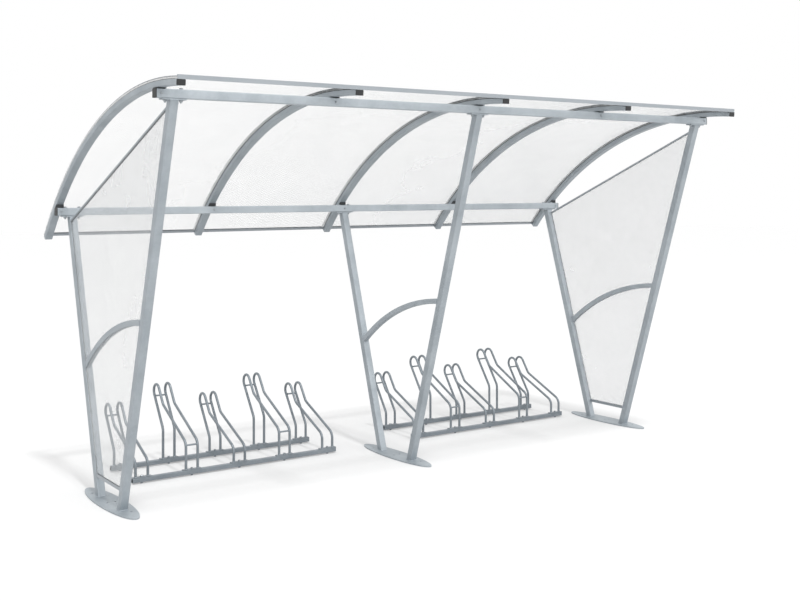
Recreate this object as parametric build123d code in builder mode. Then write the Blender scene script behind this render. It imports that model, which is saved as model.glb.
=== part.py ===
"""Free-standing bike shelter with two cycle racks, in millimetres.

Three V-shaped trestles carry a high front beam and a low rear beam.  Five arches lie over
the beams and hold four curved sheets, and the two end trestles are glazed.  +X runs along
the shelter, +Y to its low rear side and +Z up.  The origin is on the floor, under the
middle of the centre trestle's base plate.
"""
from build123d import *
import os
from math import atan2, cos, degrees, hypot, radians, sin, sqrt, tan

os.makedirs("parts", exist_ok=True)

# trestles
trestle_inset = 102.5  # end trestles' middle, from the ends of the beams
tube = 50  # square tube of the legs and beams, and the width of the arches
tube_wall = 3
tube_corner = 5
leg_foot_y = 178.5  # leg's centre line at floor level, from the trestle's middle
leg_lean = 17.2  # degrees from vertical
plate_length = 804
plate_width = 166
plate_thickness = 8
plate_hole = 14
plate_hole_pitch = 260
plate_hole_offset = 24.5  # each pair of holes from the plate's long centre line
head_plate_length = 140
head_plate_thickness = 8
brace = 35  # square tube of the curved brace
brace_wall = 2.5
brace_corner = 4
brace_radius = 1561  # outer side
brace_front_z = 1159.8  # where the outer side meets the legs
brace_rear_z = 803.2
brace_straight = 40  # unbent end of the outer side

# beams
front_beam_z = 2386.5  # undersides
rear_beam_z = 1726.5
plug_head = 5
plug_stub = 20
plug_clearance = 0.5

# roof
roof_length = 4405
arch_inner = 2542  # inner radius of the bent arches
arch_height = 33
front_overhang = 276.3  # along the arch's inner side, from the seats to the tube's ends
rear_overhang = 307
seat_height = 5  # at the front beam's middle, and at the thin end of the rear wedge
seat_depth = 20  # part of the rear beam's top under each wedge
gasket = 2
sheet = 10
sheet_gap = 10
strip = 3
strip_width = 40
edge_inset = 3.5
edge_wall = 2
front_edge_height = 24
front_edge_depth = 30
rear_edge_wall = 1
rear_edge_depth = 20
edge_clearance = 0.5

# side panels
panel = 8
panel_inset = 5  # behind the legs' outer faces
panel_gap = 1  # between the sheets and the brace
panel_bottom_z = 123
panel_front_drop = 32.8  # glazing's top corners, from the tops of the legs
panel_rear_drop = 21.2
channel_wall = 2
top_channel_depth = 12
bottom_channel_depth = 20

# cycle racks
rack_shifts = {"left": -19.5, "right": 93.5}  # from the middle of the bay
slots = 5
slot_pitch = 350
rail = 30
rail_wall = 2.5
rail_corner = 4
rail_end = 65  # beyond the last slot's middle
rail_floor_gap = 8
front_rail_y = 341
rear_rail_y = 720.5
foot_dia = 16
hoop_bar = 18
hoop_spacing = 84
saddle_length = 130
saddle_thickness = 5
crossbar_dia = 12
crossbar_drop = 10  # below the end of the crest's bend
bend_radius = 60
crest_radius = 49
crest_y = 832
crest_lean = 55  # degrees above horizontal
high_crest_z = 487
low_crest_z = 387
high_shoulder_z = 220  # where the front of the bar bends back, before rounding
low_shoulder_z = 143
front_crossbar_z = 202

# derived places
trestle_pitch = roof_length / 2 - trestle_inset
trestles = {"left": -trestle_pitch, "centre": 0, "right": trestle_pitch}
bay_middles = {"left": -trestle_pitch / 2, "right": trestle_pitch / 2}
rail_length = (slots - 1) * slot_pitch + 2 * rail_end
arch_pitch = (roof_length - tube) / 4
arch_xs = [step * arch_pitch for step in range(-2, 3)]
arch_outer = arch_inner + arch_height
sheet_bottom = arch_outer + gasket
sheet_top = sheet_bottom + sheet
strip_bottom = sheet_top + gasket
edge_length = roof_length - 2 * edge_inset


def leg_y(side, z):
    """Leg's centre line at height z; side is -1 for the front leg and 1 for the rear leg."""
    return side * (leg_foot_y + z * tan(radians(leg_lean)))


def leg_inner_y(side, z):
    """Face of a leg that looks into the V, at height z."""
    return leg_y(side, z) - side * tube / 2 / cos(radians(leg_lean))


def at_leg(side, z):
    """Point at height z on a leg's inner face, as y and z."""
    return (leg_inner_y(side, z), z)


def arc_degrees(length, radius):
    """Angle that a length takes on a circle."""
    return degrees(length / radius)


def arc_centre(front, rear, radius):
    """Middle of the arc of this radius that rises from one point and falls to the other."""
    run, fall = rear[0] - front[0], front[1] - rear[1]
    reach = sqrt(radius**2 - (run**2 + fall**2) / 4) / hypot(run, fall)
    return ((front[0] + rear[0]) / 2 - fall * reach, (front[1] + rear[1]) / 2 - run * reach)


def angle_at(centre, point):
    """Angle of a point on an arc, in degrees from vertical towards the rear."""
    return degrees(atan2(point[0] - centre[0], point[1] - centre[1]))


def across_curve(centre, angle):
    """Plane across a curve about an axis along the shelter: local x along it, local y the radius."""
    turn = radians(angle)
    return Plane((0, *centre), x_dir=(1, 0, 0), z_dir=(0, -cos(turn), sin(turn)))


def across_roof(angle):
    """Plane across the roof's curve, at an angle from vertical that grows to the rear."""
    return across_curve(roof_centre, angle)


def tube_section(width, height, wall, corner):
    """Outline of a hollow tube, rounded outside."""
    with BuildSketch() as section:
        RectangleRounded(width, height, corner)
        Rectangle(width - 2 * wall, height - 2 * wall, mode=Mode.SUBTRACT)
    return section.sketch


def save(name, piece):
    """Label a finished piece and write its file."""
    piece.label = name
    export_step(piece, f"parts/{name}.step")


beam_y = {"front": leg_y(-1, front_beam_z), "rear": leg_y(1, rear_beam_z)}
beam_bottom = {"front": front_beam_z, "rear": rear_beam_z}
sides = {"front": -1, "rear": 1}

# the roof's arc rises over the front beam's seats and falls to the rear beam's
front_seat = (beam_y["front"], front_beam_z + tube + seat_height)
rear_seat = (beam_y["rear"] + tube / 2, rear_beam_z + tube + seat_height)
roof_centre = arc_centre(front_seat, rear_seat, arch_inner)
roof_axis = Axis((0, *roof_centre), (-1, 0, 0))
arch_front_angle = angle_at(roof_centre, front_seat) - arc_degrees(front_overhang, arch_inner)
arch_rear_angle = angle_at(roof_centre, rear_seat) + arc_degrees(rear_overhang, arch_inner)

main_tube = tube_section(tube, tube, tube_wall, tube_corner)
brace_tube = tube_section(brace, brace, brace_wall, brace_corner)
arch_tube = tube_section(tube, arch_height, tube_wall, tube_corner)
rail_tube = tube_section(rail, rail, rail_wall, rail_corner)

# ---------------------------------------------------------------- trestles
# oval plates, each bolted down through two pairs of holes
for place, x in trestles.items():
    with BuildPart() as base_plate:
        with BuildSketch(Plane((x, 0, 0))):
            Ellipse(plate_width / 2, plate_length / 2)
            for end in (-1, 1):
                with Locations((-end * plate_hole_offset, end * plate_hole_pitch / 2)):
                    with GridLocations(0, plate_hole_pitch, 1, 2):
                        Circle(plate_hole / 2, mode=Mode.SUBTRACT)
        extrude(amount=plate_thickness)
    save(f"base_plate_{place}", base_plate.part)

# square tubes that lean out from the plate and are cut level at both ends
for place, x in trestles.items():
    for end, side in sides.items():
        top = beam_bottom[end] - head_plate_thickness
        along = (0, side * sin(radians(leg_lean)), cos(radians(leg_lean)))
        foot = Plane((x, side * leg_foot_y, 0), x_dir=(1, 0, 0), z_dir=along)
        with BuildPart() as leg:
            with BuildSketch(foot.offset(-tube)):
                add(main_tube)
            extrude(amount=top / cos(radians(leg_lean)) + 2 * tube)
            split(bisect_by=Plane.XY.offset(plate_thickness), keep=Keep.TOP)
            split(bisect_by=Plane.XY.offset(top), keep=Keep.BOTTOM)
        save(f"{end}_leg_{place}", leg.part)

# curved braces, flush with the outer faces of the end trestles and cut to the legs
brace_front = at_leg(-1, brace_front_z)
brace_rear = at_leg(1, brace_rear_z)
brace_centre = arc_centre(brace_front, brace_rear, brace_radius)
brace_axis = Axis((0, *brace_centre), (-1, 0, 0))
bend_margin = arc_degrees(brace_straight, brace_radius)
bend_front = angle_at(brace_centre, brace_front) + bend_margin
bend_rear = angle_at(brace_centre, brace_rear) - bend_margin
for place, x in trestles.items():
    outer_side = 1 if place == "right" else -1
    brace_x = x + outer_side * (tube - brace) / 2
    with BuildPart() as leg_brace:
        for angle, way in ((bend_front, 1), (bend_rear, -1)):
            with BuildSketch(across_curve(brace_centre, angle)):
                with Locations((brace_x, brace_radius - brace / 2)):
                    add(brace_tube)
            extrude(amount=way * (brace_straight + brace))
        with BuildSketch(across_curve(brace_centre, bend_front)):
            with Locations((brace_x, brace_radius - brace / 2)):
                add(brace_tube)
        revolve(axis=brace_axis, revolution_arc=bend_rear - bend_front)
        for side in sides.values():
            outward = (0, side * cos(radians(leg_lean)), -sin(radians(leg_lean)))
            split(bisect_by=Plane((0, leg_inner_y(side, 0), 0), z_dir=outward), keep=Keep.BOTTOM)
    save(f"leg_brace_{place}", leg_brace.part)

# plates on the leg tops, to which the beams are bolted
with BuildPart() as head_plates:
    for end in sides:
        with BuildSketch(Plane.XY.offset(beam_bottom[end] - head_plate_thickness)):
            with Locations(*[(x, beam_y[end]) for x in trestles.values()]):
                Rectangle(head_plate_length, tube)
        extrude(amount=head_plate_thickness)
save("head_plates", head_plates.part)

# ---------------------------------------------------------------- beams
for end in sides:
    middle = (0, beam_y[end], beam_bottom[end] + tube / 2)
    with BuildPart() as beam:
        with BuildSketch(Plane(middle, x_dir=(0, 1, 0), z_dir=(1, 0, 0))):
            add(main_tube)
        extrude(amount=roof_length / 2, both=True)
    save(f"{end}_beam", beam.part)

# ---------------------------------------------------------------- roof
# arches: flat tubes bent to one radius
for number, x in enumerate(arch_xs, start=1):
    with BuildPart() as arch:
        with BuildSketch(across_roof(arch_front_angle)):
            with Locations((x, arch_inner + arch_height / 2)):
                add(arch_tube)
        revolve(axis=roof_axis, revolution_arc=arch_rear_angle - arch_front_angle)
    save(f"roof_arch_{number}", arch.part)

# seats: a thin pad on the front beam and a wedge on the rear beam, both cut to the arch
with BuildPart() as arch_seats:
    with BuildSketch(*[Plane.YZ.offset(x - tube / 2) for x in arch_xs]):
        with Locations((beam_y["front"], front_beam_z + 1.5 * tube)):
            Rectangle(tube, tube)
        with Locations((beam_y["rear"] + tube / 2 - seat_depth, rear_beam_z + tube)):
            Rectangle(tube, tube, align=Align.MIN)
        with Locations(roof_centre):
            Circle(arch_inner, mode=Mode.INTERSECT)
    extrude(amount=tube)
save("arch_seats", arch_seats.part)

# plugs that close the beams at both ends and the arches at the front
front_edge = arch_front_angle - arc_degrees(plug_head, arch_outer)
stub_drop = 2 * (tube_wall + plug_clearance)
with BuildPart() as end_plugs:
    for end in sides:
        for side in (-1, 1):
            face = Plane((side * roof_length / 2, beam_y[end], beam_bottom[end] + tube / 2),
                         x_dir=(0, 1, 0), z_dir=(side, 0, 0))
            with BuildSketch(face):
                RectangleRounded(tube, tube, tube_corner)
            extrude(amount=plug_head)
            with BuildSketch(face):
                Rectangle(tube - stub_drop, tube - stub_drop)
            extrude(amount=-plug_stub)
    arch_ends = [(x, arch_inner + arch_height / 2) for x in arch_xs]
    with BuildSketch(across_roof(front_edge)):
        with Locations(*arch_ends):
            RectangleRounded(tube, arch_height, tube_corner)
    revolve(axis=roof_axis, revolution_arc=arch_front_angle - front_edge)
    with BuildSketch(across_roof(arch_front_angle)):
        with Locations(*arch_ends):
            Rectangle(tube - stub_drop, arch_height - stub_drop)
    extrude(amount=-plug_stub)
save("end_plugs", end_plugs.part)

# edge profiles: thin channels that hold the sheets' ends
web_arc = arc_degrees(edge_wall, arch_outer)
rear_web_arc = arc_degrees(rear_edge_wall, arch_outer)
with BuildPart() as front_edge_profile:
    with BuildSketch(across_roof(front_edge)):
        with Locations((0, arch_outer + front_edge_height / 2)):
            Rectangle(edge_length, front_edge_height)
    revolve(axis=roof_axis, revolution_arc=web_arc)
    with BuildSketch(across_roof(front_edge)):
        for inner in (arch_outer, sheet_top):
            with Locations((0, inner + edge_wall / 2)):
                Rectangle(edge_length, edge_wall)
    revolve(axis=roof_axis, revolution_arc=arc_degrees(front_edge_depth, arch_outer))
save("front_edge_profile", front_edge_profile.part)

with BuildPart() as rear_edge_profile:
    rear_edge_start = arch_rear_angle - arc_degrees(rear_edge_depth, arch_outer)
    with BuildSketch(across_roof(arch_rear_angle - rear_web_arc)):
        with Locations((0, sheet_bottom + sheet / 2)):
            Rectangle(edge_length, sheet + 2 * rear_edge_wall)
    revolve(axis=roof_axis, revolution_arc=rear_web_arc)
    with BuildSketch(across_roof(rear_edge_start)):
        for middle in (sheet_bottom - rear_edge_wall / 2, sheet_top + rear_edge_wall / 2):
            with Locations((0, middle)):
                Rectangle(edge_length, rear_edge_wall)
    revolve(axis=roof_axis, revolution_arc=arc_degrees(rear_edge_depth, arch_outer))
save("rear_edge_profile", rear_edge_profile.part)

# sheets: one between each two arches, end to end in the edge profiles
sheet_front = front_edge + web_arc
sheet_arc = arch_rear_angle - rear_web_arc - sheet_front
joints = [x - sheet_gap / 2 for x in arch_xs[1:-1]]
lefts = [-edge_length / 2] + [x + sheet_gap for x in joints]
rights = joints + [edge_length / 2]
for number, (left, right) in enumerate(zip(lefts, rights), start=1):
    with BuildPart() as roof_sheet:
        with BuildSketch(across_roof(sheet_front)):
            with Locations(((left + right) / 2, sheet_bottom + sheet / 2)):
                Rectangle(right - left, sheet)
        revolve(axis=roof_axis, revolution_arc=sheet_arc)
    save(f"roof_sheet_{number}", roof_sheet.part)

# gaskets under and over the sheets, and the strips that clamp them on the arches
clamp_front = front_edge + arc_degrees(front_edge_depth + edge_clearance, arch_outer)
clamp_arc = rear_edge_start - arc_degrees(edge_clearance, arch_outer) - clamp_front
with BuildPart() as roof_gaskets:
    with BuildSketch(across_roof(clamp_front)):
        for inner in (arch_outer, sheet_top):
            with Locations(*[(x, inner + gasket / 2) for x in arch_xs]):
                Rectangle(strip_width, gasket)
    revolve(axis=roof_axis, revolution_arc=clamp_arc)
save("roof_gaskets", roof_gaskets.part)

with BuildPart() as cover_strips:
    with BuildSketch(across_roof(clamp_front)):
        with Locations(*[(x, strip_bottom + strip / 2) for x in arch_xs]):
            Rectangle(strip_width, strip)
    revolve(axis=roof_axis, revolution_arc=clamp_arc)
save("cover_strips", cover_strips.part)

# ---------------------------------------------------------------- side panels
panel_top_z = {
    -1: front_beam_z - head_plate_thickness - panel_front_drop,
    1: rear_beam_z - head_plate_thickness - panel_rear_drop,
}
panel_run = leg_inner_y(1, panel_top_z[1]) - leg_inner_y(-1, panel_top_z[-1])
panel_slope = (panel_top_z[1] - panel_top_z[-1]) / panel_run


def top_corner(side, drop=0):
    """Where the slanted top edge, or a line parallel below it, meets a leg's inner face."""
    return at_leg(side, panel_top_z[side] - drop / (1 - panel_slope * side * tan(radians(leg_lean))))


def bottom_corner(side, rise=0):
    """Where the level bottom edge, or a line above it, meets a leg's inner face."""
    return at_leg(side, panel_bottom_z + rise)


def glazing_x(place, thickness):
    """Start of a layer of the glazing, centred on the sheet."""
    outer_side = 1 if place == "right" else -1
    middle = trestles[place] + outer_side * (tube / 2 - panel_inset - panel / 2)
    return middle - thickness / 2


channel_drop = channel_wall * hypot(1, panel_slope)  # measured straight down
channel_reach = top_channel_depth * hypot(1, panel_slope)
for place in ("left", "right"):
    with BuildPart() as side_panel:
        with BuildSketch(Plane.YZ.offset(glazing_x(place, panel))):
            Polygon(top_corner(-1, channel_drop), top_corner(1, channel_drop),
                    bottom_corner(1, channel_wall), bottom_corner(-1, channel_wall), align=None)
            with BuildSketch(mode=Mode.SUBTRACT):
                with Locations(brace_centre):
                    Circle(brace_radius + panel_gap)
                    Circle(brace_radius - brace - panel_gap, mode=Mode.SUBTRACT)
        extrude(amount=panel)
    save(f"side_panel_{place}", side_panel.part)

# channels along the top and bottom edges of the glazing
with BuildPart() as panel_channels:
    for place in ("left", "right"):
        with BuildSketch(Plane.YZ.offset(glazing_x(place, panel + 2 * channel_wall))):
            Polygon(top_corner(-1), top_corner(1),
                    top_corner(1, channel_reach), top_corner(-1, channel_reach), align=None)
            Polygon(bottom_corner(-1), bottom_corner(1),
                    bottom_corner(1, bottom_channel_depth),
                    bottom_corner(-1, bottom_channel_depth), align=None)
        extrude(amount=panel + 2 * channel_wall)
        with BuildSketch(Plane.YZ.offset(glazing_x(place, panel))):
            Polygon(top_corner(-1, channel_drop), top_corner(1, channel_drop),
                    bottom_corner(1, channel_wall), bottom_corner(-1, channel_wall), align=None)
        extrude(amount=panel, mode=Mode.SUBTRACT)
save("panel_channels", panel_channels.part)

# ---------------------------------------------------------------- cycle racks
lean_y = cos(radians(crest_lean))
lean_z = sin(radians(crest_lean))
saddle_top = rail_floor_gap + rail + saddle_thickness


def on_lean(start, y):
    """Point at y on a line with the crest's lean."""
    return (y, start[1] + (y - start[0]) * lean_z / lean_y)


for place, shift in rack_shifts.items():
    rack_x = bay_middles[place] + shift
    slot_xs = [rack_x + (slot - (slots - 1) / 2) * slot_pitch for slot in range(slots)]

    # square rails on round feet
    with BuildPart() as rack_rails:
        for y in (front_rail_y, rear_rail_y):
            middle = (rack_x, y, rail_floor_gap + rail / 2)
            with BuildSketch(Plane(middle, x_dir=(0, 1, 0), z_dir=(1, 0, 0))):
                add(rail_tube)
            extrude(amount=rail_length / 2, both=True)
            with BuildSketch(Plane.XY):
                with Locations(*[(x, y) for x in slot_xs]):
                    Circle(foot_dia / 2)
            extrude(amount=rail_floor_gap)
    save(f"{place}_rack_rails", rack_rails.part)

    # wheel holders: two bent bars on two saddle plates, low and high by turns
    for number, x in enumerate(slot_xs, start=1):
        high = number % 2 == 0
        crest = (crest_y, high_crest_z if high else low_crest_z)
        shoulder = (front_rail_y, high_shoulder_z if high else low_shoulder_z)
        crest_front = (crest[0] - crest_radius * lean_z, crest[1] + crest_radius * lean_y)
        crest_rear = (crest[0] + crest_radius * lean_z, crest[1] - crest_radius * lean_y)
        crest_top = (crest[0] + crest_radius * lean_y, crest[1] + crest_radius * lean_z)
        with BuildPart() as wheel_holder:
            for side in (-1, 1):
                with BuildLine(Plane.YZ.offset(x + side * hoop_spacing / 2)) as path:
                    FilletPolyline((front_rail_y, saddle_top), shoulder,
                                   on_lean(crest_front, rear_rail_y), crest_front,
                                   radius=bend_radius)
                    ThreePointArc(crest_front, crest_top, crest_rear)
                    FilletPolyline(crest_rear, on_lean(crest_rear, rear_rail_y),
                                   (rear_rail_y, saddle_top), radius=bend_radius)
                with BuildSketch(Plane((x + side * hoop_spacing / 2, front_rail_y, saddle_top))):
                    Circle(hoop_bar / 2)
                sweep(path=path.wires()[0])
            with BuildSketch(Plane.XY.offset(saddle_top - saddle_thickness)):
                with Locations((x, front_rail_y), (x, rear_rail_y)):
                    Rectangle(saddle_length, rail)
            extrude(amount=saddle_thickness)
            with BuildSketch(Plane.YZ.offset(x)):
                with Locations(on_lean(crest_rear, crest_rear[0] - crossbar_drop * lean_y)):
                    Circle(crossbar_dia / 2)
                if high:
                    with Locations((front_rail_y, front_crossbar_z)):
                        Circle(crossbar_dia / 2)
            extrude(amount=hoop_spacing / 2, both=True)
        save(f"{place}_rack_hoops_{number}", wheel_holder.part)
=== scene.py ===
"""Finishes, fixings, welds, light and camera for the bike shelter with two cycle racks.

+X runs along the shelter, -Y to its open front and +Z up.  Sizes are in metres.
"""
from math import cos, pi, radians, sin

import bpy
import numpy as np
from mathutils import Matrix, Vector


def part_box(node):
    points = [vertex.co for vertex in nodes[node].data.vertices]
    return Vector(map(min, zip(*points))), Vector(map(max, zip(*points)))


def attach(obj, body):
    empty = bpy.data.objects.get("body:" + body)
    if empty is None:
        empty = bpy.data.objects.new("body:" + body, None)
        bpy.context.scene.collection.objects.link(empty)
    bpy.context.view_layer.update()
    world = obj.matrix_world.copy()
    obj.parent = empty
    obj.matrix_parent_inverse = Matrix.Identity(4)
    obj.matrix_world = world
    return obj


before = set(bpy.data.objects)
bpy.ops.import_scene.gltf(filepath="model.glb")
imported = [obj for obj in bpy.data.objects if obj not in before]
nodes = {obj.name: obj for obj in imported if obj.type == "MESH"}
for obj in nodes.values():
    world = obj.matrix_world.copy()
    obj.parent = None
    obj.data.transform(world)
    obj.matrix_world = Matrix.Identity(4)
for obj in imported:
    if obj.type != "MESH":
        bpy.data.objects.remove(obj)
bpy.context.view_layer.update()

# ------------------------------------------------------------------ sizes
PLACES = ("left", "centre", "right")
ENDS = ("front", "rear")
RACKS = ("left", "right")
ARCHES = range(1, 6)
SLOTS = range(1, 6)

# trestles and beams
LEAN = radians(17.2)  # legs, from vertical
LEG_TUBE = 0.050
FOOT_SPREAD = 0.1785  # from a trestle's middle to a leg's middle at the floor
HEAD_PLATE = 0.008
BEAM_BOLT_SPREAD = 0.046  # from the leg's middle to the bolt on each side of it

# roof
ROOF_MIDDLE = (-0.9714, -0.0999)  # y and z of the axis that the roof is bent about
SHEET_RADIUS = 2.582  # middle of the roof's sheets
STRIP_RADIUS = 2.592  # top of the cover strips
RIB_PITCH = 0.0105  # twin-wall sheet
CLAMPED_BORDER = 0.036  # of a roof sheet, from an arch's middle
PALE_BORDER = 0.0115  # what the black gasket lips leave of the clamped border
STRIP_SCREWS = 7  # along each cover strip
FIRST_STRIP_SCREW = -4.15  # degrees from the roof's crown towards the rear
STRIP_SCREW_STEP = 8.6  # degrees

# racks
HOOP_SPREAD = 0.042  # from a slot's middle to each of its two bars
HOOP_BAR = 0.018
HALF_RAIL = 0.015
REAR_RAIL_Y = 0.7205
SADDLE_TOP = 0.043
WELD_STAND = 0.0005  # a weld's middle line, off the metal on both sides

# studio
FLOOR_REACH = 40
FLOOR_Z = -0.001
# near-black disc under each base plate: painted shade for the plate holes
HOLE_SHADE_Z = -0.0005
HOLE_SHADE_INSET = 0.004  # inside a base plate's edge
HOLE_SHADE_POINTS = 48  # round each base plate
RACK_WELD_POINTS = 20  # round the foot of each bar
FLOOR_LIFT = 0.22  # light that the floor paint adds where it is seen


# ------------------------------------------------------------------ tools
def colour(hex_text):
    """Linear colour of an sRGB hex value."""
    parts = [int(hex_text[i:i + 2], 16) / 255 for i in (1, 3, 5)]
    return tuple(p / 12.92 if p <= 0.04045 else ((p + 0.055) / 1.055) ** 2.4
                 for p in parts) + (1,)


def new_object(name, data):
    """Object that shows the given data in the scene."""
    made = bpy.data.objects.new(name, data)
    bpy.context.scene.collection.objects.link(made)
    return made


def add(tree, kind, inputs=None, **settings):
    """Add a node, set it up, and fill its inputs with values or with other nodes' outputs."""
    made = tree.nodes.new(kind)
    for name, value in settings.items():
        setattr(made, name, value)
    for socket, value in (inputs or {}).items():
        if isinstance(value, bpy.types.NodeSocket):
            tree.links.new(value, made.inputs[socket])
        else:
            made.inputs[socket].default_value = value
    return made


def maths(tree, operation, *values):
    return add(tree, "ShaderNodeMath", dict(enumerate(values)), operation=operation).outputs[0]


def noise(tree, where, grain, **more):
    """Cloudy noise whose blots are about as wide as the grain."""
    return add(tree, "ShaderNodeTexNoise",
               {"Vector": where, "Scale": 1 / grain, **more}).outputs[0]


def spread(tree, value, low, high, start=0.0, stop=1.0, **settings):
    """A value between start and stop, moved to lie between low and high."""
    return add(tree, "ShaderNodeMapRange", {
        "Value": value, "From Min": start, "From Max": stop, "To Min": low, "To Max": high},
        **settings).outputs[0]


def mixed(tree, factor, first, second):
    """Colour between two others, each a hex value or a node's output."""
    first, second = (colour(c) if isinstance(c, str) else c for c in (first, second))
    return add(tree, "ShaderNodeMix", {"Factor": factor, "A": first, "B": second},
               data_type="RGBA").outputs["Result"]


def bumps(tree, height, strength, distance):
    return add(tree, "ShaderNodeBump", {
        "Height": height, "Strength": strength, "Distance": distance}).outputs[0]


def axis_part(tree, vector, axis):
    return add(tree, "ShaderNodeSeparateXYZ", {"Vector": vector}).outputs[axis]


def new_material(name):
    """Empty node material, with the object's own coordinates in metres."""
    made = bpy.data.materials.new(name)
    made.use_nodes = True
    tree = made.node_tree
    tree.nodes.clear()
    where = add(tree, "ShaderNodeTexCoord").outputs["Object"]
    return made, tree, where


def surface_normal(tree):
    return add(tree, "ShaderNodeTexCoord").outputs["Normal"]


def finish_material(tree, inputs):
    """Coat the material with one shader and put it out."""
    shader = add(tree, "ShaderNodeBsdfPrincipled", inputs)
    add(tree, "ShaderNodeOutputMaterial", {"Surface": shader.outputs[0]})


def arch_middle(number):
    low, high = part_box(f"roof_arch_{number}")
    return (low.x + high.x) / 2


def leg_x(place):
    low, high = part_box(f"front_leg_{place}")
    return (low.x + high.x) / 2


def beam_middle(end):
    """Middle y of a beam, with the corners of its box."""
    low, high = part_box(f"{end}_beam")
    return (low.y + high.y) / 2, low, high


def saddles():
    """Middle x of each wheel holder, with the y of its front and its rear saddle."""
    for side in RACKS:
        for number in SLOTS:
            low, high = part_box(f"{side}_rack_hoops_{number}")
            yield (low.x + high.x) / 2, (low.y + HALF_RAIL, REAR_RAIL_Y)


# ------------------------------------------------------------------ finishes
def galvanised_steel(name, dark, light, rough):
    """Hot-dip galvanised mild steel: a matt blue-grey zinc skin whose crystals, about 12 mm
    across, each catch the light a little differently, under clouds of pale zinc bloom."""
    made, tree, where = new_material(name)
    crystal = add(tree, "ShaderNodeTexVoronoi", {"Vector": where, "Scale": 1 / 0.012})
    shade = add(tree, "ShaderNodeSeparateColor", {"Color": crystal.outputs["Color"]}).outputs[0]
    cloud = noise(tree, where, 0.18, Detail=5.0, Roughness=0.6)
    grit = noise(tree, where, 0.0015, Detail=2.0)
    clouds = spread(tree, cloud, 0.1, 0.75, start=0.3, stop=0.7)
    skin = mixed(tree, maths(tree, "MULTIPLY_ADD", shade, 0.22, clouds), dark, light)
    dull = spread(tree, shade, rough - 0.07, rough + 0.07)
    relief = maths(tree, "MULTIPLY_ADD", shade, 0.5, grit)
    finish_material(tree, {
        "Base Color": skin, "Metallic": 0.45, "Roughness": dull,
        "Normal": bumps(tree, relief, strength=0.25, distance=0.0003)})
    return made


def twin_wall(name, axis, pale, web_tone, cover, drift, border):
    """Clear twin-wall polycarbonate, extruded: milky where light scatters in its hollow
    chambers, with a fine web at each rib pitch that shows as a slightly denser line.

    The webs are spaced along the axis.  The cover is how much the sheet hides, and drifts
    along the shelter.  The border is the clamped width beside each arch."""
    web_cover = 0.09  # what a web hides more than the sheet beside it
    haze_cover = 0.015  # either way
    clamped_cover = 0.7
    made, tree, where = new_material(name)
    # a band wave repeats every 2 pi / (20 x scale)
    web = add(tree, "ShaderNodeTexWave", {"Vector": where, "Scale": pi / 10 / RIB_PITCH},
              bands_direction=axis).outputs[1]
    line = spread(tree, web, 0.0, 1.0, start=0.8, stop=0.97, interpolation_type="SMOOTHSTEP")
    haze = noise(tree, where, 0.35, Detail=3.0)
    dense = spread(tree, haze, cover - haze_cover, cover + haze_cover, start=0.3, stop=0.7)
    along = axis_part(tree, where, "X")
    dense = maths(tree, "MULTIPLY_ADD", along, drift, dense)
    hidden = maths(tree, "MULTIPLY_ADD", line, web_cover, dense)
    # the closed long edges are seen through many webs, so they look solid
    edge = maths(tree, "ABSOLUTE", axis_part(tree, surface_normal(tree), axis))
    # so does the clamped border along each arch, beside the black lips of its gasket; the border
    # is also painted near white, as painted light, so that it reads light in the shade between
    # arch and cover strip
    arch_pitch = (arch_middle(5) - arch_middle(1)) / 4
    from_first = maths(tree, "ADD", along, -arch_middle(1))
    away = maths(tree, "PINGPONG", from_first, arch_pitch / 2)
    held = maths(tree, "LESS_THAN", away, border)
    lips = maths(tree, "LESS_THAN", away, border - PALE_BORDER)
    flat = maths(tree, "LESS_THAN", edge, 0.5)
    lips = maths(tree, "MULTIPLY", lips, flat)
    solid = maths(tree, "MULTIPLY", held, clamped_cover)
    solid = maths(tree, "MAXIMUM", edge, solid)
    solid = maths(tree, "MAXIMUM", lips, solid)
    hidden = maths(tree, "MAXIMUM", hidden, solid)
    tint = mixed(tree, line, pale, web_tone)
    tint = mixed(tree, edge, tint, "#B9BDBF")
    # painted light: the clamped border is tinted near white so that it reads light in the shade
    # under the cover strip
    tint = mixed(tree, held, tint, "#EFF1F1")
    tint = mixed(tree, lips, tint, "#2B2D2E")
    finish_material(tree, {
        "Base Color": tint, "Roughness": 0.22, "IOR": 1.585, "Alpha": hidden,
        "Normal": bumps(tree, web, strength=0.05, distance=0.0003),
        "Subsurface Weight": 1.0, "Subsurface Radius": (1.0, 1.0, 1.0),
        "Subsurface Scale": 0.03})
    return made


def mill_aluminium(name):
    """Aluminium as it leaves the extrusion press: pale and satin, with faint die lines."""
    made, tree, where = new_material(name)
    along = add(tree, "ShaderNodeMapping", {"Vector": where, "Scale": (1.5, 700, 700)}).outputs[0]
    lines = noise(tree, along, 1.0, Detail=3.0)
    cloud = noise(tree, where, 0.4)
    finish_material(tree, {
        "Base Color": mixed(tree, cloud, "#959CA1", "#A7ACB1"), "Metallic": 0.6,
        "Roughness": spread(tree, lines, 0.3, 0.46),
        "Normal": bumps(tree, lines, strength=0.12, distance=0.0001)})
    return made


def moulded_plastic(name):
    """Polypropylene end plugs from a spark-eroded mould: near black, with a fine satin grain."""
    made, tree, where = new_material(name)
    grain = noise(tree, where, 0.0006, Detail=2.0)
    cloud = noise(tree, where, 0.03)
    finish_material(tree, {
        "Base Color": mixed(tree, cloud, "#17181A", "#262829"), "Roughness": 0.5, "IOR": 1.49,
        "Normal": bumps(tree, grain, strength=0.3, distance=0.0001)})
    return made


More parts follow.
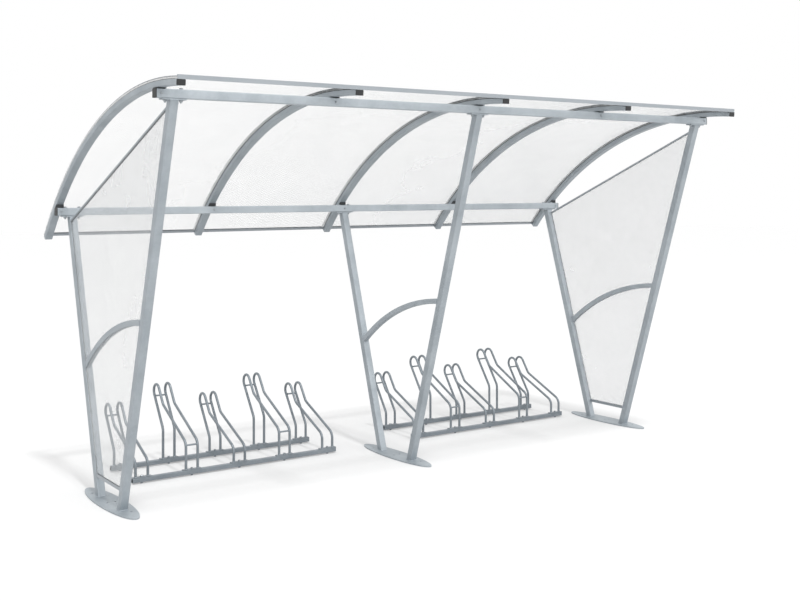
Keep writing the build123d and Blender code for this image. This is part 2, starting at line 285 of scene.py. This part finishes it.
def extruded_rubber(name):
    """EPDM gasket and pads: matt black that greys a little as it weathers. Where the gaskets over
    the roof's sheets press on them, their undersides are painted pale: painted light, standing in
    for the light that the sheets scatter into the shaded clamp."""
    made, tree, where = new_material(name)
    place = add(tree, "ShaderNodeSeparateXYZ", {"Vector": where}).outputs
    out = add(tree, "ShaderNodeCombineXYZ", {
        "X": maths(tree, "ADD", place["Y"], -ROOF_MIDDLE[0]),
        "Y": maths(tree, "ADD", place["Z"], -ROOF_MIDDLE[1])}).outputs[0]
    reach = add(tree, "ShaderNodeVectorMath", {0: out}, operation="LENGTH").outputs["Value"]
    # painted light: the undersides of the gaskets above the sheets are made pale
    over = maths(tree, "GREATER_THAN", reach, SHEET_RADIUS)
    under = maths(tree, "LESS_THAN", axis_part(tree, surface_normal(tree), "Z"), -0.5)
    painted_light_underside = maths(tree, "MULTIPLY", over, under)
    bloom = noise(tree, where, 0.05, Detail=4.0)
    skin = mixed(tree, bloom, "#26282A", "#46494B")
    finish_material(tree, {
        "Base Color": mixed(tree, painted_light_underside, skin, "#D2D4D4"), "Roughness": 0.8, "IOR": 1.52})
    return made


def zinc_plate(name):
    """Bright zinc-plated steel fixings: cleaner and smoother than the dipped steel round them."""
    made, tree, where = new_material(name)
    smut = noise(tree, where, 0.008, Detail=3.0)
    finish_material(tree, {
        "Base Color": mixed(tree, smut, "#8E9499", "#B9BEC1"), "Metallic": 1.0,
        "Roughness": spread(tree, smut, 0.28, 0.45)})
    return made


def weld_metal(name):
    """Welds that were dipped with the frame: the same zinc, thicker and brighter."""
    made, tree, where = new_material(name)
    lumps = noise(tree, where, 0.006, Detail=3.0)
    finish_material(tree, {
        "Base Color": mixed(tree, lumps, "#8B939A", "#B4BBC0"), "Metallic": 0.7,
        "Roughness": 0.45, "Normal": bumps(tree, lumps, strength=0.4, distance=0.0006)})
    return made


frame_steel = galvanised_steel("hot_dip_galvanised_frame", "#8E969C", "#ADB4B9", rough=0.5)
# a lighter copy of the same galvanised steel for the beams: painted light, for the light that
# their upright faces catch
beam_steel_painted_lighter = galvanised_steel("hot_dip_galvanised_beams_painted_lighter", "#98A0A6", "#B8BFC4", rough=0.46)
rack_steel = galvanised_steel("hot_dip_galvanised_rack", "#6E767C", "#8C9399", rough=0.38)
aluminium = mill_aluminium("mill_finish_aluminium")
plastic = moulded_plastic("moulded_polypropylene")
rubber = extruded_rubber("epdm_rubber")
zinc = zinc_plate("zinc_plated_fixings")
weld_steel = weld_metal("galvanised_weld")
roof_polycarbonate = twin_wall(
    "twin_wall_polycarbonate_roof", "X", pale="#D5D7D7", web_tone="#C8CACC",
    cover=0.137, drift=0.045, border=CLAMPED_BORDER)
side_polycarbonate = twin_wall(
    "twin_wall_polycarbonate_side", "Y", pale="#C4C6C7", web_tone="#B6B9BB",
    cover=0.19, drift=0, border=0)

slot_finish = {
    "galvanised_frame": frame_steel,
    "galvanised_rack": rack_steel,
    "mill_aluminium": aluminium,
    "black_plastic": plastic,
    "black_rubber": rubber,
}
for name, node in nodes.items():
    for slot in node.material_slots:
        if name.startswith("side_panel"):
            slot.material = side_polycarbonate
        elif name.startswith("roof_sheet"):
            slot.material = roof_polycarbonate
        # the beams take the lighter copy of the frame steel, which is painted light
        elif name.endswith("_beam"):
            slot.material = beam_steel_painted_lighter
        else:
            slot.material = slot_finish[slot.material.name]


# ------------------------------------------------------------------ fixings
def geometry_tree(name, sizes):
    """Empty geometry tree with a named length input for each size, and a material input."""
    tree = bpy.data.node_groups.new(name, "GeometryNodeTree")
    tree.interface.new_socket("Geometry", in_out="INPUT", socket_type="NodeSocketGeometry")
    for size, value in sizes.items():
        socket = tree.interface.new_socket(size, in_out="INPUT", socket_type="NodeSocketFloat")
        socket.default_value = value
    tree.interface.new_socket("Finish", in_out="INPUT", socket_type="NodeSocketMaterial")
    tree.interface.new_socket("Geometry", in_out="OUTPUT", socket_type="NodeSocketGeometry")
    return tree, tree.nodes.new("NodeGroupInput").outputs


def close_tree(tree, shape, finish):
    """Turn instances into a mesh, give it its finish and put it out."""
    real = add(tree, "GeometryNodeRealizeInstances", {"Geometry": shape}).outputs[0]
    coated = add(tree, "GeometryNodeSetMaterial", {
        "Geometry": real, "Material": finish}).outputs[0]
    add(tree, "NodeGroupOutput", {"Geometry": coated})


def run_tree(name, tree, points, edges, values, finish, directions=None):
    """Run a tree on a mesh of points and edges, and keep the result as a plain mesh."""
    mesh = bpy.data.meshes.new(name)
    mesh.from_pydata([tuple(p) for p in points], edges, [])
    if directions is not None:
        held = mesh.attributes.new("direction", "FLOAT_VECTOR", "POINT")
        held.data.foreach_set("vector", np.array(directions, float).ravel())
    source = new_object(name + "_points", mesh)
    modifier = source.modifiers.new("tree", "NODES")
    modifier.node_group = tree
    wanted = dict(values, Finish=finish)
    for item in tree.interface.items_tree:
        if item.in_out == "INPUT" and item.name in wanted:
            modifier[item.identifier] = wanted[item.name]
    seen = source.evaluated_get(bpy.context.evaluated_depsgraph_get())
    made = new_object(name, bpy.data.meshes.new_from_object(seen))
    source.modifiers.remove(modifier)
    bpy.data.objects.remove(source)
    return made


def hex_bolt_tree():
    """Hexagon head with a chamfered top on a round washer, standing on each point.

    The thread is what shows beyond a nut; on a head it is only a low flat boss."""
    side_share, crown_share = 0.8, 0.2  # of the head's height
    crown_taper = 0.84
    tree, sizes = geometry_tree("hex_bolt", {
        "Across Corners": 0.022, "Head Height": 0.008, "Washer Width": 0.026,
        "Washer Height": 0.0025, "Thread Width": 0.008, "Thread Length": 0.0003})

    def half(size):
        return maths(tree, "MULTIPLY", sizes[size], 0.5)

    def lifted(shape, height):
        up = add(tree, "ShaderNodeCombineXYZ", {"Z": height}).outputs[0]
        return add(tree, "GeometryNodeTransform", {
            "Geometry": shape, "Translation": up}).outputs[0]

    washer = add(tree, "GeometryNodeMeshCylinder", {
        "Vertices": 24, "Radius": half("Washer Width"),
        "Depth": sizes["Washer Height"]}).outputs[0]
    side_height = maths(tree, "MULTIPLY", sizes["Head Height"], side_share)
    crown_height = maths(tree, "MULTIPLY", sizes["Head Height"], crown_share)
    crown_width = maths(tree, "MULTIPLY", half("Across Corners"), crown_taper)
    side = add(tree, "GeometryNodeMeshCylinder", {
        "Vertices": 6, "Radius": half("Across Corners"), "Depth": side_height}).outputs[0]
    crown = add(tree, "GeometryNodeMeshCone", {
        "Vertices": 6, "Radius Top": crown_width, "Radius Bottom": half("Across Corners"),
        "Depth": crown_height}).outputs[0]
    thread = add(tree, "GeometryNodeMeshCylinder", {
        "Vertices": 16, "Radius": half("Thread Width"),
        "Depth": sizes["Thread Length"]}).outputs[0]
    side_middle = maths(tree, "MULTIPLY_ADD", side_height, 0.5, sizes["Washer Height"])
    crown_start = maths(tree, "ADD", side_height, sizes["Washer Height"])
    head_top = maths(tree, "ADD", sizes["Head Height"], sizes["Washer Height"])
    thread_middle = maths(tree, "MULTIPLY_ADD", sizes["Thread Length"], 0.5, head_top)
    bolt = add(tree, "GeometryNodeJoinGeometry")
    for shape, height in ((washer, half("Washer Height")), (side, side_middle),
                          (crown, crown_start), (thread, thread_middle)):
        tree.links.new(lifted(shape, height), bolt.inputs[0])
    towards = add(tree, "GeometryNodeInputNamedAttribute", {"Name": "direction"},
                  data_type="FLOAT_VECTOR").outputs[0]
    turned = add(tree, "FunctionNodeAlignRotationToVector", {"Vector": towards},
                 axis="Z").outputs[0]
    spin = add(tree, "FunctionNodeRandomValue", {2: 0.0, 3: 1.0, "Seed": 7}).outputs[1]
    about = add(tree, "ShaderNodeCombineXYZ", {"Z": spin}).outputs[0]
    own_turn = add(tree, "FunctionNodeRotateRotation", {"Rotation": turned, "Rotate By": about},
                   rotation_space="LOCAL").outputs[0]
    placed = add(tree, "GeometryNodeInstanceOnPoints", {
        "Points": sizes["Geometry"], "Instance": bolt.outputs[0],
        "Rotation": own_turn}).outputs[0]
    close_tree(tree, placed, sizes["Finish"])
    return tree


def weld_tree():
    """Rippled bead of weld along each line of edges."""
    tree, sizes = geometry_tree("weld_bead", {"Bead Width": 0.005, "Ripple Pitch": 0.0024})
    line = add(tree, "GeometryNodeMeshToCurve", {"Mesh": sizes["Geometry"]}).outputs[0]
    steps = add(tree, "GeometryNodeResampleCurve", {
        "Curve": line, "Length": sizes["Ripple Pitch"]}, mode="LENGTH").outputs[0]
    swell = add(tree, "FunctionNodeRandomValue", {2: 0.85, 3: 1.15, "Seed": 3}).outputs[1]
    thick = maths(tree, "MULTIPLY", swell, sizes["Bead Width"])
    ring = add(tree, "GeometryNodeCurvePrimitiveCircle", {
        "Resolution": 6, "Radius": 0.5}).outputs[0]
    swollen = add(tree, "GeometryNodeSetCurveRadius", {
        "Curve": steps, "Radius": thick}).outputs[0]
    bead = add(tree, "GeometryNodeCurveToMesh", {
        "Curve": swollen, "Profile Curve": ring, "Scale": thick}).outputs[0]
    smooth = add(tree, "GeometryNodeSetShadeSmooth", {"Geometry": bead}).outputs[0]
    close_tree(tree, smooth, sizes["Finish"])
    return tree


# bolt heads on each beam on both sides of a leg, and their nuts under the head plate
bolt_tree = hex_bolt_tree()
heads, nuts = [], []
for end in ENDS:
    y, low, high = beam_middle(end)
    plate_bottom = low.z - HEAD_PLATE
    for place in PLACES:
        for side in (-1, 1):
            x = leg_x(place) + side * BEAM_BOLT_SPREAD
            heads.append((x, y, high.z))
            nuts.append((x, y, plate_bottom))
beam_bolts = run_tree("beam_bolts", bolt_tree, heads, [], {
    "Across Corners": 0.0195, "Head Height": 0.0065, "Washer Width": 0.022,
    "Washer Height": 0.002}, zinc, [(0, 0, 1)] * len(heads))
beam_nuts = run_tree("beam_nuts", bolt_tree, nuts, [], {
    "Across Corners": 0.0195, "Head Height": 0.008, "Washer Width": 0.022,
    "Washer Height": 0.002, "Thread Width": 0.0105, "Thread Length": 0.006},
    zinc, [(0, 0, -1)] * len(nuts))

# screws in the beams' front faces, one under each arch
screws = []
for end in ENDS:
    y, low, high = beam_middle(end)
    for number in ARCHES:
        screws.append((arch_middle(number), low.y, (low.z + high.z) / 2))
beam_screws = run_tree("beam_screws", bolt_tree, screws, [], {
    "Across Corners": 0.0115, "Head Height": 0.005, "Washer Width": 0.014,
    "Washer Height": 0.0012}, zinc, [(0, -1, 0)] * len(screws))

# screws that clamp the cover strips, square to the roof's curve
clamps, squares = [], []
for number in ARCHES:
    for step in range(STRIP_SCREWS):
        angle = radians(FIRST_STRIP_SCREW + STRIP_SCREW_STEP * step)
        squares.append((0, sin(angle), cos(angle)))
        clamps.append((arch_middle(number), ROOF_MIDDLE[0] + STRIP_RADIUS * sin(angle),
                       ROOF_MIDDLE[1] + STRIP_RADIUS * cos(angle)))
strip_screws = run_tree("strip_screws", bolt_tree, clamps, [], {
    "Across Corners": 0.0115, "Head Height": 0.0048, "Washer Width": 0.016,
    "Washer Height": 0.0012}, zinc, squares)

# bolts that hold each wheel holder's saddles on the rails
saddle_bolts = [(x, y, SADDLE_TOP) for x, ys in saddles() for y in ys]
rack_bolts = run_tree("rack_bolts", bolt_tree, saddle_bolts, [], {
    "Across Corners": 0.0195, "Head Height": 0.007, "Washer Width": 0.024,
    "Washer Height": 0.002}, zinc, [(0, 0, 1)] * len(saddle_bolts))


# ------------------------------------------------------------------ welds
def outline_on(node, point, normal):
    """Corner points of a node's cut face on a plane, in order round it."""
    tolerance = 2e-5
    half_turn_steps = 24
    co = np.array([v.co for v in nodes[node].data.vertices])
    normal = np.array(normal) / np.linalg.norm(normal)
    flat = co[np.abs((co - np.array(point)) @ normal) < tolerance]
    across = np.cross(normal, (1.0, 0.0, 0.0) if abs(normal[0]) < 0.9 else (0.0, 1.0, 0.0))
    across /= np.linalg.norm(across)
    other = np.cross(normal, across)
    away = flat - flat.mean(axis=0)
    reach = np.linalg.norm(away, axis=1)
    angle = np.arctan2(away @ other, away @ across)
    ring = {}
    for i in np.argsort(-reach):  # the outermost point in each small step round the face
        ring.setdefault(round(float(angle[i]) * half_turn_steps / pi), i)
    order = sorted(ring.values(), key=lambda i: angle[i])
    return [flat[i] for i in order]


def ellipse(middle, reach, count):
    """Points round a level ellipse that reaches so far along x and along y."""
    return [(middle[0] + reach[0] * cos(2 * pi * i / count),
             middle[1] + reach[1] * sin(2 * pi * i / count), middle[2]) for i in range(count)]


def closed_rings(rings):
    """All rings as one list of points and the edges that close each of them."""
    points, edges = [], []
    for ring in rings:
        start = len(points)
        points += list(ring)
        edges += [(start + i, start + (i + 1) % len(ring)) for i in range(len(ring))]
    return points, edges


frame_rings = []
for place in PLACES:
    x = leg_x(place)
    for end, side in (("front", -1), ("rear", 1)):
        low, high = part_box(f"{end}_leg_{place}")
        for z in (low.z, high.z):
            frame_rings.append(outline_on(f"{end}_leg_{place}", (x, 0, z), (0, 0, 1)))
        # the braces are cut to the legs' inner faces
        foot = (0, side * (FOOT_SPREAD - LEG_TUBE / 2 / cos(LEAN)), 0)
        frame_rings.append(outline_on(f"leg_brace_{place}", foot,
                                      (0, cos(LEAN), -side * sin(LEAN))))
bead_tree = weld_tree()
points, edges = closed_rings(frame_rings)
frame_welds = run_tree("frame_welds", bead_tree, points, edges, {
    "Bead Width": 0.006, "Ripple Pitch": 0.0028}, weld_steel)

weld_reach = HOOP_BAR / 2 + WELD_STAND
rack_rings = [ellipse((x + side * HOOP_SPREAD, y, SADDLE_TOP + WELD_STAND),
                      (weld_reach, weld_reach), RACK_WELD_POINTS)
              for x, ys in saddles() for side in (-1, 1) for y in ys]
points, edges = closed_rings(rack_rings)
rack_welds = run_tree("rack_welds", bead_tree, points, edges, {
    "Bead Width": 0.004, "Ripple Pitch": 0.0024}, weld_steel)

for piece, slot in ((beam_bolts, "galvanised_frame"), (beam_nuts, "galvanised_frame"),
                    (beam_screws, "galvanised_frame"), (strip_screws, "mill_aluminium"),
                    (rack_bolts, "galvanised_rack"), (frame_welds, "galvanised_frame"),
                    (rack_welds, "galvanised_rack")):
    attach(piece, "root")

# ------------------------------------------------------------------ floor, light and camera
floor_mesh = bpy.data.meshes.new("studio_floor")
floor_mesh.from_pydata([(x * FLOOR_REACH, y * FLOOR_REACH, FLOOR_Z)
                        for x, y in ((-1, -1), (1, -1), (1, 1), (-1, 1))], [], [(0, 1, 2, 3)])
floor = new_object("studio_floor", floor_mesh)

# painted shade under the base plates: a near-black disc on the floor, which only their holes
# show, so that they read dark
plate_hole_shade_points, plate_hole_shade_faces = [], []
for place in PLACES:
    low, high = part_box(f"base_plate_{place}")
    start = len(plate_hole_shade_points)
    middle = ((low.x + high.x) / 2, (low.y + high.y) / 2, HOLE_SHADE_Z)
    reach = ((high.x - low.x) / 2 - HOLE_SHADE_INSET, (high.y - low.y) / 2 - HOLE_SHADE_INSET)
    plate_hole_shade_points += ellipse(middle, reach, HOLE_SHADE_POINTS)
    plate_hole_shade_faces.append(list(range(start, start + HOLE_SHADE_POINTS)))
plate_hole_shade_mesh = bpy.data.meshes.new("plate_hole_shade")
plate_hole_shade_mesh.from_pydata(plate_hole_shade_points, [], plate_hole_shade_faces)
plate_hole_shade = new_object("plate_hole_shade", plate_hole_shade_mesh)


def background_seen(tree):
    """1 where the floor is seen, mirrored or seen through something clear, and 0 as light."""
    ray = add(tree, "ShaderNodeLightPath").outputs
    seen = maths(tree, "MAXIMUM", ray["Is Camera Ray"], ray["Is Glossy Ray"])
    return maths(tree, "MAXIMUM", seen, ray["Is Transmission Ray"])


# painted studio floor: matt, and lifted to white wherever it is seen, so that only shadow shows
floor_paint, tree, where = new_material("white_floor_paint")
finish_material(tree, {
    "Base Color": colour("#C0C0C0"), "Roughness": 1.0, "Specular IOR Level": 0.0,
    "Emission Color": colour("#FFFFFF"),
    "Emission Strength": maths(tree, "MULTIPLY", background_seen(tree), FLOOR_LIFT)})
floor_mesh.materials.append(floor_paint)
# near-black paint: painted shade, for the dark inside the plate holes
plate_hole_shade_paint, tree, where = new_material("painted_shade_in_plate_holes")
speckle = noise(tree, where, 0.004)
finish_material(tree, {
    "Base Color": mixed(tree, speckle, "#1D1E1E", "#2E2F2F"), "Roughness": 0.9})
plate_hole_shade_mesh.materials.append(plate_hole_shade_paint)

# even white studio surround
world = bpy.data.worlds.new("studio")
bpy.context.scene.world = world
world.use_nodes = True
tree = world.node_tree
tree.nodes.clear()
sky = add(tree, "ShaderNodeBackground", {"Color": colour("#FFFFFF"), "Strength": 1.0}).outputs[0]
add(tree, "ShaderNodeOutputWorld", {"Surface": sky})

# key light from high in front
sun = bpy.data.lights.new("key", "SUN")
sun.energy = 1.6
sun.angle = radians(5)
key = new_object("key", sun)
key.rotation_euler = (radians(21.5), radians(-3.2), 0)

# broad fill from above the front, for the upright faces of beams and legs
fill_light = bpy.data.lights.new("fill", "AREA")
fill_light.shape = "RECTANGLE"
fill_light.size = 24
fill_light.size_y = 4
fill_light.energy = 520
fill = new_object("fill", fill_light)
fill.location = (2, -8, 6)
fill.rotation_euler = (radians(63), 0, 0)

camera_data = bpy.data.cameras.new("camera")
camera_data.sensor_width = 36
camera_data.lens = 50.09
camera_data.shift_y = -0.14
camera_data.clip_end = 200
camera = new_object("camera", camera_data)
camera.location = (-4.5306, -6.5097, 1.9066)
camera.rotation_euler = (radians(90), 0, radians(-35.017))
bpy.context.scene.camera = camera

bpy.context.scene.view_settings.view_transform = "Standard"
